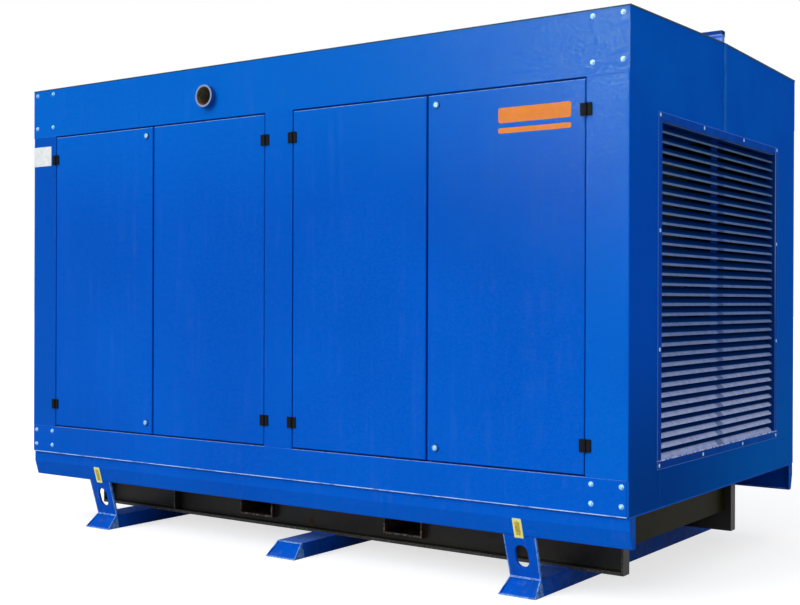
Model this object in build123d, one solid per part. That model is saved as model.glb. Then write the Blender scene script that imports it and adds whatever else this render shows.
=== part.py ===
from build123d import *
import os

# Diesel generator set in a sheet-steel canopy on a skid, modelled in millimetres.
# +Z is up, +X points to the radiator end, and the four hinged doors face -Y.
# The origin is on the ground, under the middle of the machine.

# Overall size
LENGTH = 3500.0
WIDTH = 1966.0
FLOOR_Z = 374.0
EAVES_Z = 2316.0
RIDGE_Z = 2338.0
HALF_L = LENGTH / 2
HALF_W = WIDTH / 2

# Canopy walls: sound-proofed panels, with a stop flange behind the edges of each doorway
WALL = 40.0
SKIN = 3.0
EDGE_R = 6.0
SEAL_GAP = 6.0
STOP_T = 3.0
STOP_W = 20.0
STOP_FRONT_Y = -HALF_W + WALL + SEAL_GAP
STOP_BACK_Y = STOP_FRONT_Y + STOP_T
SILL_TOP_Z = 512.0
HEADER_BOTTOM_Z = 2062.0
STOP_LOW_Z = SILL_TOP_Z + STOP_W
STOP_HIGH_Z = HEADER_BOTTOM_Z - STOP_W
SILL_END = 8.0
SILL_EDGE_R = 2.5
CORNER_FRONT = 182.0
CORNER_SIDE = 292.0
MIDDLE_POST = 166.0

# Doors
DOOR_GAP = 10.0
DOOR_CLEARANCE = 8.0
DOOR_LOW_Z = SILL_TOP_Z + DOOR_CLEARANCE
DOOR_HIGH_Z = HEADER_BOTTOM_Z - DOOR_CLEARANCE
DOOR_LIP = 22.0
DOOR_LINING_SET = 6.0
DOOR_CHAMFER = 2.5

# Surface hinges
HINGE_SIZE = 50.0
HINGE_PLATE = 5.0
HINGE_HEIGHTS = (634.0, 1935.0)
KNUCKLE_R = 6.0
KNUCKLE_SIDES = 8
PIN_R = 3.0
PIN_CLEARANCE = 0.4
HINGE_Y = HALF_W + KNUCKLE_R + 1

# Key locks on the two outer doors
LOCK_X = 872.0
LOCK_R = 14.0
LOCK_T = 7.0
LOCK_SIDES = 16
LOCK_HEIGHTS = (575.0, 2013.0)

# Louvred grille between the corner posts of each end
GRILLE_HALF = 685.0
GRILLE_LOW_Z = 561.0
GRILLE_HIGH_Z = 1911.0
GRILLE_FLANGE = 36.0
GRILLE_FLANGE_T = 3.0
GRILLE_DEPTH = 50.0
GRILLE_ROOM = 6.0
BLADE_COUNT = 33
BLADE_T = 2.0
BLADE_SET = 13.0
BLADE_LIP = 6.0
BLADE_RUN = 34.0
BLADE_DROP = 29.0
MULLION_W = 72.0
MULLION_T = 4.0

# Ridge cap, and the cover strip that runs from it down each end wall
CAP_TOP_Z = 2394.0
CAP_NECK = 26.0
CAP_HOOD = 40.0
CAP_NECK_H = 26.0
CAP_END = 6.0
STRIP_W = 34.0
STRIP_T = 4.0

# Base rails of bent sheet under the canopy's long sides
RAIL_FACE_Y = 970.0
RAIL_FOLD_Z = 318.0
RAIL_LOW_Z = 244.0
RAIL_LOW_Y = 948.0
RAIL_INNER_Y = 918.0
RAIL_T = 4.0
RAIL_BEND = 8.0

# Skid beams, channels that open outwards
BEAM_END_X = 1572.0
BEAM_LOW_Z = 66.0
FLOOR_T = 6.0
BEAM_TOP_Z = FLOOR_Z - FLOOR_T
BEAM_FACE_Y = 643.0
BEAM_DEPTH = 58.0
BEAM_WEB = 10.0
BEAM_FLANGE = 14.0
STIFFENER_X = 1023.0
BEAM_INNER_Y = BEAM_FACE_Y - BEAM_DEPTH

# Fork pockets through the skid
POCKET_X = 453.0
POCKET_W = 201.0
POCKET_H = 90.0
POCKET_T = 8.0
POCKET_LOW_Z = 112.0
POCKET_OUT = 42.0

# Fuel tank between the skid beams, and the plates that close the skid's ends
TANK_END_X = 1537.0
TANK_PLATE = 10.0
TANK_PLATE_LOW_Z = 164.0
TANK_LOW_Z = 216.0

# Cross feet and lifting brackets
FOOT_X = 1256.0
FOOT_LOW_W = 174.0
FOOT_TOP_W = 144.0
FOOT_H = BEAM_LOW_Z
FOOT_END_Y = 968.0
FOOT_TOP_Y = 895.0
FOOT_RIM = 5.0
FOOT_INSET = 8.0
BRACKET_T = 12.0
BRACKET_TOP_W = 150.0
SLOT_W = 60.0
SLOT_LENGTH = 94.0
SLOT_Z = 158.0

# Exhaust: a pipe through the header, with a sleeve round its mouth
EXHAUST_X = -454.0
EXHAUST_Z = 2172.0
EXHAUST_R = 48.0
EXHAUST_WALL = 4.0
EXHAUST_CLEARANCE = 2.0
SLEEVE_R = 54.0
SLEEVE_L = 28.0
SILENCER_R = 140.0
SILENCER_L = 900.0
SILENCER_X = -154.0
SILENCER_Y = -330.0
SILENCER_Z = 2110.0
STRAP_W = 40.0
RISER_X = 150.0
RISER_LOW_Z = 1430.0

# Engine, from the flywheel end to the fan end
ENGINE_X0 = 90.0
ENGINE_X1 = 1010.0
SHAFT_Z = 860.0
CASE_LOW_Z = 670.0
CASE_HIGH_Z = 850.0
CASE_HALF = 210.0
BANK_LOW_Z = 930.0
BANK_HALF = 150.0
DECK_Z = 1180.0
SUMP_L = 780.0
SUMP_W = 340.0
SUMP_H = 140.0
SUMP_TAPER = 12.0
CYLINDERS = 6
CASTING_SIDES = 12
COVER_TOP_Z = 1400.0
COVER_GAP = 16.0
COVER_W = 260.0
COVER_TAPER = 6.0
FLYWHEEL_R = 270.0
EXHAUST_LOG_R = 50.0
EXHAUST_LOG_Y = -236.0
EXHAUST_LOG_Z = 1240.0
TURBO_R = 95.0
INTAKE_Y = 250.0
INTAKE_H = 100.0
CLEANER_R = 125.0
CLEANER_L = 420.0
MOUNT_HALF = 400.0
MOUNT_T = 70.0

# Fan and radiator
FAN_Z = 1180.0
FAN_R = 390.0
FAN_BLADES = 7
FAN_X = 1175.0
FAN_TILT = 35.0
FAN_BLADE_W = 110.0
FAN_BLADE_T = 6.0
HUB_R = 90.0
HUB_L = 60.0
PULLEY_R = 45.0
PULLEY_CASE_T = 40.0
RADIATOR_X = 1240.0
RADIATOR_T = 110.0
RADIATOR_HALF = 560.0
RADIATOR_TOP_Z = 1880.0
HEADER_TANK_H = 110.0
HEADER_TANK_SLANT = 20.0
CORE_SET = 15.0
SHROUD_W = 1060.0
SHROUD_L = 55.0
SHROUD_TAPER = 40.0
FAN_GAP = 20.0

# Alternator
ALTERNATOR_X = -780.0
ALTERNATOR_R = 290.0
BELL_L = 190.0
BELL_STEP = 20.0
TERMINAL_BOX_X = -400.0
TERMINAL_BOX_L = 420.0
TERMINAL_BOX_W = 340.0
TERMINAL_BOX_H = 260.0


def block(x0, x1, y0, y1, z0, z1):
    """A box given by its limits."""
    centre = ((x0 + x1) / 2, (y0 + y1) / 2, (z0 + z1) / 2)
    return Pos(*centre) * Box(abs(x1 - x0), abs(y1 - y0), abs(z1 - z0))


def along_x(points, x0, x1):
    """A prism along X from an outline in (y, z)."""
    outline = make_face(Polyline(*[(x0, y, z) for y, z in points], close=True))
    return extrude(outline, amount=x1 - x0, dir=(1, 0, 0))


def along_y(points, y0, y1):
    """A prism along Y from an outline in (x, z)."""
    outline = make_face(Polyline(*[(x, y0, z) for x, z in points], close=True))
    return extrude(outline, amount=y1 - y0, dir=(0, 1, 0))


def along_z(points, z0, z1):
    """A prism along Z from an outline in (x, y)."""
    outline = make_face(Polyline(*[(x, y, z0) for x, y in points], close=True))
    return extrude(outline, amount=z1 - z0, dir=(0, 0, 1))


def rod(start, direction, radius, length):
    """A round bar from a start point along a direction."""
    return extrude(Plane(start, z_dir=direction) * Circle(radius), amount=length)


def flat_sided(start, direction, radius, length, sides):
    """A bar with flats, as cast and pressed bodies have, from a start point along a direction."""
    return extrude(Plane(start, z_dir=direction) * RegularPolygon(radius, sides), amount=length)


def bent_sheet(points, radius, thickness, x0, x1):
    """A bent sheet along X: the line of its outer face in (y, z), with rounded bends."""
    path = FilletPolyline(*points, radius=radius)
    section = make_face(offset(Wire(path.edges()), amount=thickness, side=Side.LEFT).edges())
    plane = Plane((x0, 0, 0), x_dir=(0, 1, 0), z_dir=(1, 0, 0))
    return extrude(plane * section, amount=x1 - x0, dir=(1, 0, 0))


def turn_to_back(solid):
    """The same piece on the opposite long side."""
    return mirror(solid, about=Plane.XZ)


def turn_to_left(solid):
    """The same piece at the opposite end."""
    return mirror(solid, about=Plane.YZ)


def roof_z(y):
    """Height of the roof's outer surface at a distance from the ridge."""
    return RIDGE_Z + (EAVES_Z - RIDGE_Z) * abs(y) / HALF_W


def foot(x):
    """Cross foot: a trapezium section with sloped ends, and its end plates set in."""
    low, top = FOOT_LOW_W / 2, FOOT_TOP_W / 2
    section = [(x - low, 0), (x + low, 0), (x + top, FOOT_H), (x - top, FOOT_H)]
    side = [(-FOOT_END_Y, 0), (FOOT_END_Y, 0), (FOOT_TOP_Y, FOOT_H), (-FOOT_TOP_Y, FOOT_H)]
    body = along_y(section, -FOOT_END_Y, FOOT_END_Y) & along_x(side, x - low, x + low)
    rim, inset = FOOT_RIM, FOOT_INSET
    face = [(x - low + rim, rim), (x + low - rim, rim),
            (x + top - rim, FOOT_H - rim), (x - top + rim, FOOT_H - rim)]
    depth = [(-FOOT_END_Y, 0), (-FOOT_END_Y + inset, 0),
             (-FOOT_TOP_Y + inset, FOOT_H), (-FOOT_TOP_Y, FOOT_H)]
    recess = along_y(face, -FOOT_END_Y, -FOOT_TOP_Y + inset) & along_x(depth, x - low, x + low)
    return body - recess - turn_to_back(recess)


def bracket(x):
    """Front lifting bracket: a leaning plate from the foot's top edge to the base rail, slotted."""
    top, low = BRACKET_TOP_W / 2, FOOT_TOP_W / 2
    section = [(-FOOT_TOP_Y, FOOT_H), (-RAIL_LOW_Y, RAIL_LOW_Z), (-RAIL_LOW_Y + BRACKET_T, RAIL_LOW_Z),
               (-FOOT_TOP_Y + BRACKET_T, FOOT_H)]
    face = [(x - low, FOOT_H), (x + low, FOOT_H), (x + top, RAIL_LOW_Z), (x - top, RAIL_LOW_Z)]
    plate = along_x(section, x - top, x + top) & along_y(face, -HALF_W, -FOOT_TOP_Y + BRACKET_T)
    slot = Plane((x, -HALF_W, SLOT_Z), x_dir=(0, 0, 1), z_dir=(0, 1, 0)) * SlotOverall(SLOT_LENGTH, SLOT_W)
    return plate - extrude(slot, amount=HALF_W)


def base_rail():
    """Front base rail: a sheet bent to a face, an inward slope and two flanges, with end plates."""
    line = [(-RAIL_INNER_Y, FLOOR_Z), (-RAIL_FACE_Y, FLOOR_Z), (-RAIL_FACE_Y, RAIL_FOLD_Z),
            (-RAIL_LOW_Y, RAIL_LOW_Z), (-RAIL_INNER_Y, RAIL_LOW_Z)]
    rail = bent_sheet(line, RAIL_BEND, RAIL_T, -HALF_L, HALF_L)
    path = FilletPolyline(*line, radius=RAIL_BEND, close=True)
    end_plate = Plane((HALF_L - RAIL_T, 0, 0), x_dir=(0, 1, 0), z_dir=(1, 0, 0)) * make_face(path.edges())
    end_plate = extrude(end_plate, amount=RAIL_T)
    return rail + end_plate + turn_to_left(end_plate)


def skid_beam():
    """Front skid beam: a channel open to the outside, with plates across it, pierced by the pockets."""
    web_y = -BEAM_INNER_Y - BEAM_WEB
    low, top = BEAM_LOW_Z + BEAM_FLANGE, BEAM_TOP_Z - BEAM_FLANGE
    outline = [(-BEAM_FACE_Y, BEAM_LOW_Z), (-BEAM_INNER_Y, BEAM_LOW_Z),
               (-BEAM_INNER_Y, BEAM_TOP_Z), (-BEAM_FACE_Y, BEAM_TOP_Z),
               (-BEAM_FACE_Y, top), (web_y, top), (web_y, low), (-BEAM_FACE_Y, low)]
    beam = along_x(outline, -BEAM_END_X, BEAM_END_X)
    plate = block(0, BEAM_WEB, -BEAM_FACE_Y, web_y, low, top)
    beam += [Pos(x, 0, 0) * plate for x in (-BEAM_END_X, -STIFFENER_X, STIFFENER_X, BEAM_END_X - BEAM_WEB)]
    for x in (-POCKET_X, POCKET_X):
        beam -= pocket_core(x, POCKET_T)
    return beam


def pocket_core(x, grow=0.0):
    """The space inside a fork pocket, grown on every side by an amount."""
    half = POCKET_W / 2 + grow
    low, high = POCKET_LOW_Z - grow, POCKET_LOW_Z + POCKET_H + grow
    return block(x - half, x + half, -BEAM_FACE_Y, BEAM_FACE_Y, low, high)


def fork_pocket(x):
    """Rectangular sleeve through both skid beams, under the tank, standing out of their webs."""
    end_y = BEAM_INNER_Y + POCKET_OUT
    sleeve = pocket_core(x, POCKET_T) - pocket_core(x)
    return sleeve & block(x - POCKET_W, x + POCKET_W, -end_y, end_y, 0, FLOOR_Z)


def fuel_tank():
    """Closed fuel tank between the skid beams, hung from two end plates that reach lower."""
    side = BEAM_INNER_Y
    low, plate_low, top = TANK_LOW_Z, TANK_PLATE_LOW_Z, BEAM_TOP_Z
    inner_x = TANK_END_X - TANK_PLATE
    outline = [(-TANK_END_X, plate_low), (-inner_x, plate_low), (-inner_x, low), (inner_x, low),
               (inner_x, plate_low), (TANK_END_X, plate_low), (TANK_END_X, top), (-TANK_END_X, top)]
    return along_y(outline, -side, side)


def corner_post():
    """Front right corner post: one folded panel, with a front leg beside the door and a side leg."""
    leg_x, inner_x, side_y = HALF_L - CORNER_FRONT, HALF_L - WALL, -HALF_W + CORNER_SIDE
    plan = make_face(Polyline((leg_x, -HALF_W), (HALF_L, -HALF_W), (HALF_L, side_y), (inner_x, side_y),
                              (inner_x, STOP_BACK_Y), (leg_x - STOP_W, STOP_BACK_Y),
                              (leg_x - STOP_W, STOP_FRONT_Y), (leg_x, STOP_FRONT_Y), close=True))
    plan = fillet(plan.vertices().sort_by_distance((HALF_L, -HALF_W))[0], EDGE_R)
    post = extrude(Pos(0, 0, FLOOR_Z) * plan, amount=RIDGE_Z - FLOOR_Z)
    slope = [(-HALF_W, FLOOR_Z), (side_y, FLOOR_Z), (side_y, roof_z(side_y)), (-HALF_W, EAVES_Z)]
    post &= along_x(slope, leg_x - STOP_W, HALF_L)
    for z0, z1, stop_z0, stop_z1 in ((FLOOR_Z, SILL_TOP_Z, SILL_TOP_Z, STOP_LOW_Z),
                                     (HEADER_BOTTOM_Z, RIDGE_Z, STOP_HIGH_Z, HEADER_BOTTOM_Z)):
        post -= block(leg_x - STOP_W, inner_x, -HALF_W, STOP_BACK_Y, z0, z1)
        post -= block(inner_x, HALF_L, -HALF_W, -HALF_W + SKIN, z0, z1)
        post -= block(leg_x - STOP_W, inner_x, STOP_FRONT_Y, STOP_BACK_Y, stop_z0, stop_z1)
    return post


def middle_post():
    """Front middle post between the two pairs of doors: a hat section."""
    half, out = MIDDLE_POST / 2, MIDDLE_POST / 2 + STOP_W
    plan = [(-half, -HALF_W), (half, -HALF_W), (half, STOP_FRONT_Y), (out, STOP_FRONT_Y), (out, STOP_BACK_Y),
            (-out, STOP_BACK_Y), (-out, STOP_FRONT_Y), (-half, STOP_FRONT_Y)]
    post = along_z(plan, SILL_TOP_Z, HEADER_BOTTOM_Z)
    for z0, z1 in ((SILL_TOP_Z, STOP_LOW_Z), (STOP_HIGH_Z, HEADER_BOTTOM_Z)):
        post -= block(-out, out, STOP_FRONT_Y, STOP_BACK_Y, z0, z1)
    return post


def wall_strip(outline, end_x):
    """Front wall strip between the corner posts, with a skin that laps over them."""
    strip = along_x(outline, -end_x, end_x)
    behind = block(HALF_L - WALL, HALF_L, -HALF_W + SKIN, STOP_BACK_Y, FLOOR_Z, RIDGE_Z)
    return strip - behind - turn_to_left(behind)


def sill():
    """Wall strip under the doors, with a rounded top edge and a stop flange."""
    outline = [(-HALF_W, FLOOR_Z), (-HALF_W, SILL_TOP_Z), (STOP_FRONT_Y, SILL_TOP_Z),
               (STOP_FRONT_Y, STOP_LOW_Z), (STOP_BACK_Y, STOP_LOW_Z), (STOP_BACK_Y, FLOOR_Z)]
    strip = wall_strip(outline, HALF_L - SILL_END)
    edges = strip.edges().filter_by(Axis.X)
    corner = edges.sort_by_distance((0, -HALF_W, SILL_TOP_Z))[0]
    return fillet(corner, SILL_EDGE_R)


def header(with_outlet):
    """Wall strip over the doors up to the eaves, pierced for the exhaust on the front."""
    outline = [(-HALF_W, HEADER_BOTTOM_Z), (-HALF_W, EAVES_Z), (STOP_BACK_Y, roof_z(STOP_BACK_Y)),
               (STOP_BACK_Y, STOP_HIGH_Z), (STOP_FRONT_Y, STOP_HIGH_Z), (STOP_FRONT_Y, HEADER_BOTTOM_Z)]
    strip = wall_strip(outline, HALF_L)
    if with_outlet:
        start = (EXHAUST_X, -HALF_W, EXHAUST_Z)
        strip -= rod(start, (0, 1, 0), EXHAUST_R + EXHAUST_CLEARANCE, WALL * 2)
    return strip


def end_wall():
    """Right end wall between the corner posts: a sill panel under the grille and a gable panel over it."""
    half = HALF_W - CORNER_SIDE
    low_z, high_z = GRILLE_LOW_Z - GRILLE_ROOM, GRILLE_HIGH_Z + GRILLE_ROOM
    low = [(-half, FLOOR_Z), (half, FLOOR_Z), (half, low_z), (-half, low_z)]
    high = [(-half, high_z), (half, high_z), (half, roof_z(half)), (0, RIDGE_Z), (-half, roof_z(half))]
    return Compound([along_x(low, HALF_L - WALL, HALF_L), along_x(high, HALF_L - WALL, HALF_L)])


def louvre():
    """Right grille: a frame with a flange over the wall, a mullion and a row of bent blades."""
    face_x, inner_x = HALF_L + GRILLE_FLANGE_T, HALF_L - GRILLE_DEPTH
    middle_z, height = (GRILLE_LOW_Z + GRILLE_HIGH_Z) / 2, GRILLE_HIGH_Z - GRILLE_LOW_Z
    plane = Plane((inner_x, 0, middle_z), x_dir=(0, 1, 0), z_dir=(1, 0, 0))
    wall, flange = 2 * GRILLE_FLANGE_T, 2 * GRILLE_FLANGE
    opening = Rectangle(2 * GRILLE_HALF, height)
    frame = plane * (Rectangle(2 * GRILLE_HALF + wall, height + wall) - opening)
    frame = extrude(frame, amount=face_x - inner_x)
    rim = Rectangle(2 * GRILLE_HALF + flange, height + flange) - opening
    frame += extrude(plane.offset(GRILLE_DEPTH) * rim, amount=GRILLE_FLANGE_T)
    frame += Pos(inner_x + MULLION_T / 2, 0, middle_z) * Box(MULLION_T, MULLION_W, height)
    pitch = height / BLADE_COUNT
    return frame + [Pos(0, 0, GRILLE_LOW_Z + i * pitch) * louvre_blade() for i in range(BLADE_COUNT)]


def louvre_blade():
    """One blade: a sheet that slopes down to the outside and ends in a lip."""
    x_out = HALF_L - BLADE_SET
    path = Polyline((x_out, 0), (x_out, BLADE_LIP), (x_out - BLADE_RUN, BLADE_LIP + BLADE_DROP))
    wall = offset(Wire(path.edges()), amount=BLADE_T, side=Side.LEFT, kind=Kind.INTERSECTION)
    section = make_face(wall.edges())
    length = 2 * GRILLE_HALF + GRILLE_FLANGE_T
    plane = Plane((0, length / 2, 0), x_dir=(1, 0, 0), z_dir=(0, -1, 0))
    return extrude(plane * section, amount=length)


def roof_half():
    """Front roof half: a sloped panel from the front header to the ridge."""
    y0 = STOP_BACK_Y
    outline = [(y0, roof_z(y0) - WALL), (0, RIDGE_Z - WALL), (0, RIDGE_Z), (y0, roof_z(y0))]
    return along_x(outline, -HALF_L + WALL, HALF_L - WALL)


def ridge_cap():
    """Snap-on cap over the roof's seam, with a cover strip down each end wall to the grille."""
    neck, hood = CAP_NECK / 2, CAP_HOOD / 2
    neck_z = RIDGE_Z + CAP_NECK_H
    hood_z = neck_z + hood - neck
    outline = [(0, RIDGE_Z), (neck, roof_z(neck)), (neck, neck_z), (hood, hood_z), (hood, CAP_TOP_Z),
               (-hood, CAP_TOP_Z), (-hood, hood_z), (-neck, neck_z), (-neck, roof_z(neck))]
    cap = along_x(outline, -HALF_L + CAP_END, HALF_L - CAP_END)
    half, low_z = STRIP_W / 2, GRILLE_HIGH_Z + GRILLE_FLANGE
    strip = along_x([(-half, low_z), (half, low_z), (half, roof_z(half)), (0, RIDGE_Z),
                     (-half, roof_z(half))], HALF_L, HALF_L + STRIP_T)
    return Compound([cap, strip, turn_to_left(strip)])


def floor_plate():
    """Canopy floor on the beams and the tank, between the base rails and under the end walls."""
    return block(-HALF_L, HALF_L, -RAIL_INNER_Y, RAIL_INNER_Y, BEAM_TOP_Z, FLOOR_Z)


def door_span(index):
    """Limits in X of a door, counted from 0 at the left."""
    outer = HALF_L - CORNER_FRONT - DOOR_GAP / 2
    inner = MIDDLE_POST / 2 + DOOR_GAP / 2
    middle = (outer + inner) / 2
    spans = [(-outer, -middle - DOOR_GAP / 2), (-middle + DOOR_GAP / 2, -inner),
             (inner, middle - DOOR_GAP / 2), (middle + DOOR_GAP / 2, outer)]
    return spans[index]


def door(index):
    """Front door: a sheet-steel pan filled with lining, which is set in from the pan's lip."""
    x0, x1 = door_span(index)
    back_y = -HALF_W + WALL
    leaf = block(x0, x1, -HALF_W, back_y, DOOR_LOW_Z, DOOR_HIGH_Z)
    leaf = chamfer(leaf.faces().sort_by(Axis.Y)[0].edges(), DOOR_CHAMFER)
    lip, lining_y = DOOR_LIP, back_y - DOOR_LINING_SET
    return leaf - block(x0 + lip, x1 - lip, lining_y, back_y, DOOR_LOW_Z + lip, DOOR_HIGH_Z - lip)


def hinge_x(index):
    """Hinge axis of a door, and the side on which the door lies: 1 to the right, -1 to the left."""
    x0, x1 = door_span(index)
    half_gap = DOOR_GAP / 2
    return (x0 - half_gap, 1) if index in (0, 2) else (x1 + half_gap, -1)


def knuckle(x, z0, z1):
    """One knuckle of a hinge, cast with narrow flats."""
    return flat_sided((x, -HINGE_Y, z0), (0, 0, 1), KNUCKLE_R, z1 - z0, KNUCKLE_SIDES)


def hinge_leaf(x, z, side, knuckles):
    """One leaf of a hinge: a plate beside the axis, with an arm and a knuckle over each height range."""
    face_y, plate_y = -HALF_W, -HALF_W - HINGE_PLATE
    near, far = sorted((x + side * (KNUCKLE_R + 1), x + side * HINGE_SIZE / 2))
    leaf = block(near, far, plate_y, face_y, z - HINGE_SIZE / 2, z + HINGE_SIZE / 2)
    near, far = sorted((x, x + side * (KNUCKLE_R + 2)))
    for low, high in knuckles:
        leaf += block(near, far, plate_y, face_y - 2, z + low, z + high)
        leaf += knuckle(x, z + low, z + high)
    return leaf


def frame_leaf(x, z, side):
    """Hinge leaf on the post, with two knuckles and the pin between them."""
    half, sixth = HINGE_SIZE / 2, HINGE_SIZE / 6
    leaf = hinge_leaf(x, z, -side, [(-half, -sixth), (sixth, half)])
    return leaf + rod((x, -HINGE_Y, z - sixth), (0, 0, 1), PIN_R, 2 * sixth)


def door_leaf(x, z, side):
    """Hinge leaf on the door, with the middle knuckle round the pin."""
    reach = HINGE_SIZE / 6 - 1
    leaf = hinge_leaf(x, z, side, [(-reach, reach)])
    return leaf - rod((x, -HINGE_Y, z - reach), (0, 0, 1), PIN_R + PIN_CLEARANCE, 2 * reach)


def closed_hinge(x, z):
    """Hinge of a fixed back door, its two leaves as one plate and its knuckles as one barrel."""
    half = HINGE_SIZE / 2
    plate = block(x - half, x + half, -HALF_W - HINGE_PLATE, -HALF_W, z - half, z + half)
    return plate + knuckle(x, z - half, z + half)


def lock(x, z):
    """Round lock housing on a door's face."""
    return flat_sided((x, -HALF_W - LOCK_T, z), (0, 1, 0), LOCK_R, LOCK_T, LOCK_SIDES)


def tailpipe():
    """Exhaust pipe from the silencer out through the header, and the sleeve round its mouth."""
    tip = HALF_W + SLEEVE_L
    inner = EXHAUST_R - EXHAUST_WALL
    end = -SILENCER_Y + SILENCER_R / 2
    plane = Plane((EXHAUST_X, 0, EXHAUST_Z), x_dir=(1, 0, 0), z_dir=(0, 0, 1))
    section = make_face(Polyline((inner, -tip), (SLEEVE_R, -tip), (SLEEVE_R, -HALF_W), (EXHAUST_R, -HALF_W),
                                 (EXHAUST_R, -end), (inner, -end), close=True))
    pipe = revolve(plane * section, axis=Axis((EXHAUST_X, 0, EXHAUST_Z), (0, 1, 0)))
    return pipe - silencer_body()


def silencer_body():
    """Outer shape of the silencer, a drum along X."""
    return rod((SILENCER_X - SILENCER_L / 2, SILENCER_Y, SILENCER_Z), (1, 0, 0), SILENCER_R, SILENCER_L)


def silencer():
    """Silencer drum hung from the roof on two straps, with the riser from the engine."""
    drum = silencer_body()
    half = STRAP_W / 2
    for x in (SILENCER_X - SILENCER_L / 3, SILENCER_X + SILENCER_L / 3):
        drum += block(x - half, x + half, SILENCER_Y - half, SILENCER_Y + half,
                      SILENCER_Z, roof_z(SILENCER_Y - half) - WALL)
    riser = (RISER_X, SILENCER_Y, RISER_LOW_Z)
    return drum + flat_sided(riser, (0, 0, 1), EXHAUST_R, SILENCER_Z - RISER_LOW_Z, CASTING_SIDES)


def saddle(x, seat_z):
    """Mount under the engine or the alternator: a plate that spreads to two feet on the floor."""
    half, step = MOUNT_HALF, MOUNT_T / 2
    outline = [(-half, FLOOR_Z), (-half, FLOOR_Z + step), (-half / 2, seat_z - MOUNT_T), (-half / 2, seat_z),
               (half / 2, seat_z), (half / 2, seat_z - MOUNT_T), (half, FLOOR_Z + step), (half, FLOOR_Z)]
    return along_x(outline, x, x + MOUNT_T)


def crankcase():
    """Crankcase with its deck, and the tapered sump under it."""
    case, bank = CASE_HALF, BANK_HALF
    outline = [(-case, CASE_LOW_Z), (case, CASE_LOW_Z), (case, CASE_HIGH_Z), (bank, BANK_LOW_Z),
               (bank, DECK_Z), (-bank, DECK_Z), (-bank, BANK_LOW_Z), (-case, CASE_HIGH_Z)]
    sump = Pos((ENGINE_X0 + ENGINE_X1) / 2, 0, CASE_LOW_Z) * Rectangle(SUMP_L, SUMP_W)
    return along_x(outline, ENGINE_X0, ENGINE_X1) + extrude(sump, amount=-SUMP_H, taper=SUMP_TAPER)


def cylinder_covers():
    """Row of separate tapered covers on the deck, one for each cylinder."""
    pitch = (ENGINE_X1 - ENGINE_X0) / CYLINDERS
    cover = extrude(Rectangle(pitch - COVER_GAP, COVER_W), amount=COVER_TOP_Z - DECK_Z, taper=COVER_TAPER)
    return [Pos(ENGINE_X0 + (i + 0.5) * pitch, 0, DECK_Z) * cover for i in range(CYLINDERS)]


def exhaust_side():
    """Exhaust manifold along the front of the deck, and the turbocharger under the silencer's riser."""
    x0, x1 = RISER_X - MOUNT_T, RISER_X + MOUNT_T
    low, top = DECK_Z + COVER_GAP, EXHAUST_LOG_Z + EXHAUST_LOG_R + COVER_GAP
    log = (ENGINE_X0, EXHAUST_LOG_Y, EXHAUST_LOG_Z)
    log = flat_sided(log, (1, 0, 0), EXHAUST_LOG_R, ENGINE_X1 - 2 * ENGINE_X0, CASTING_SIDES)
    turbo = (x0, SILENCER_Y, RISER_LOW_Z - TURBO_R)
    turbo = flat_sided(turbo, (1, 0, 0), TURBO_R, x1 - x0, CASTING_SIDES)
    return log + turbo + block(x0, x1, SILENCER_Y, -BANK_HALF / 2, low, top)


def intake_side():
    """Intake manifold along the back of the deck, and the air cleaner's drum over it."""
    low = DECK_Z + COVER_GAP
    outline = [(BANK_HALF / 2, low), (INTAKE_Y, low + COVER_GAP), (INTAKE_Y, low + COVER_GAP + INTAKE_H),
               (BANK_HALF / 2, low + INTAKE_H)]
    manifold = along_x(outline, ENGINE_X0 + PULLEY_CASE_T, ENGINE_X1 - PULLEY_CASE_T)
    cleaner_x = (ENGINE_X0 + ENGINE_X1 - CLEANER_L) / 2
    cleaner = (cleaner_x, BANK_HALF, COVER_TOP_Z + CLEANER_R / 2)
    return manifold + flat_sided(cleaner, (1, 0, 0), CLEANER_R, CLEANER_L, CASTING_SIDES)


def fan():
    """Engine fan: a hub with a flat for the foot of each tilted blade."""
    hub = flat_sided((FAN_X - HUB_L / 2, 0, FAN_Z), (1, 0, 0), HUB_R, HUB_L, 2 * FAN_BLADES)
    length = FAN_R - HUB_R + HUB_L / 2
    blade = Pos(FAN_X, 0, FAN_Z + FAN_R - length / 2) * Rot(0, 0, FAN_TILT)
    blade = blade * Box(FAN_BLADE_T, FAN_BLADE_W, length)
    axis = Axis((0, 0, FAN_Z), (1, 0, 0))
    return hub + [blade.rotate(axis, i * 360 / FAN_BLADES) for i in range(FAN_BLADES)]


def engine():
    """In-line engine on two saddles, with its flywheel housing, pulley case and fan."""
    shape = crankcase() + cylinder_covers() + exhaust_side() + intake_side()
    shape += flat_sided((0, 0, SHAFT_Z), (1, 0, 0), FLYWHEEL_R, ENGINE_X0, CASTING_SIDES)
    shape += [saddle(x, CASE_LOW_Z) for x in (ENGINE_X0 + MOUNT_T, ENGINE_X1 - 2 * MOUNT_T)]
    shape += block(ENGINE_X1, ENGINE_X1 + PULLEY_CASE_T, -BANK_HALF, BANK_HALF, BANK_LOW_Z, FAN_Z + HUB_R)
    pulley = flat_sided((ENGINE_X1, 0, FAN_Z), (1, 0, 0), PULLEY_R, FAN_X - ENGINE_X1, CASTING_SIDES)
    return shape + pulley + fan()


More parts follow.
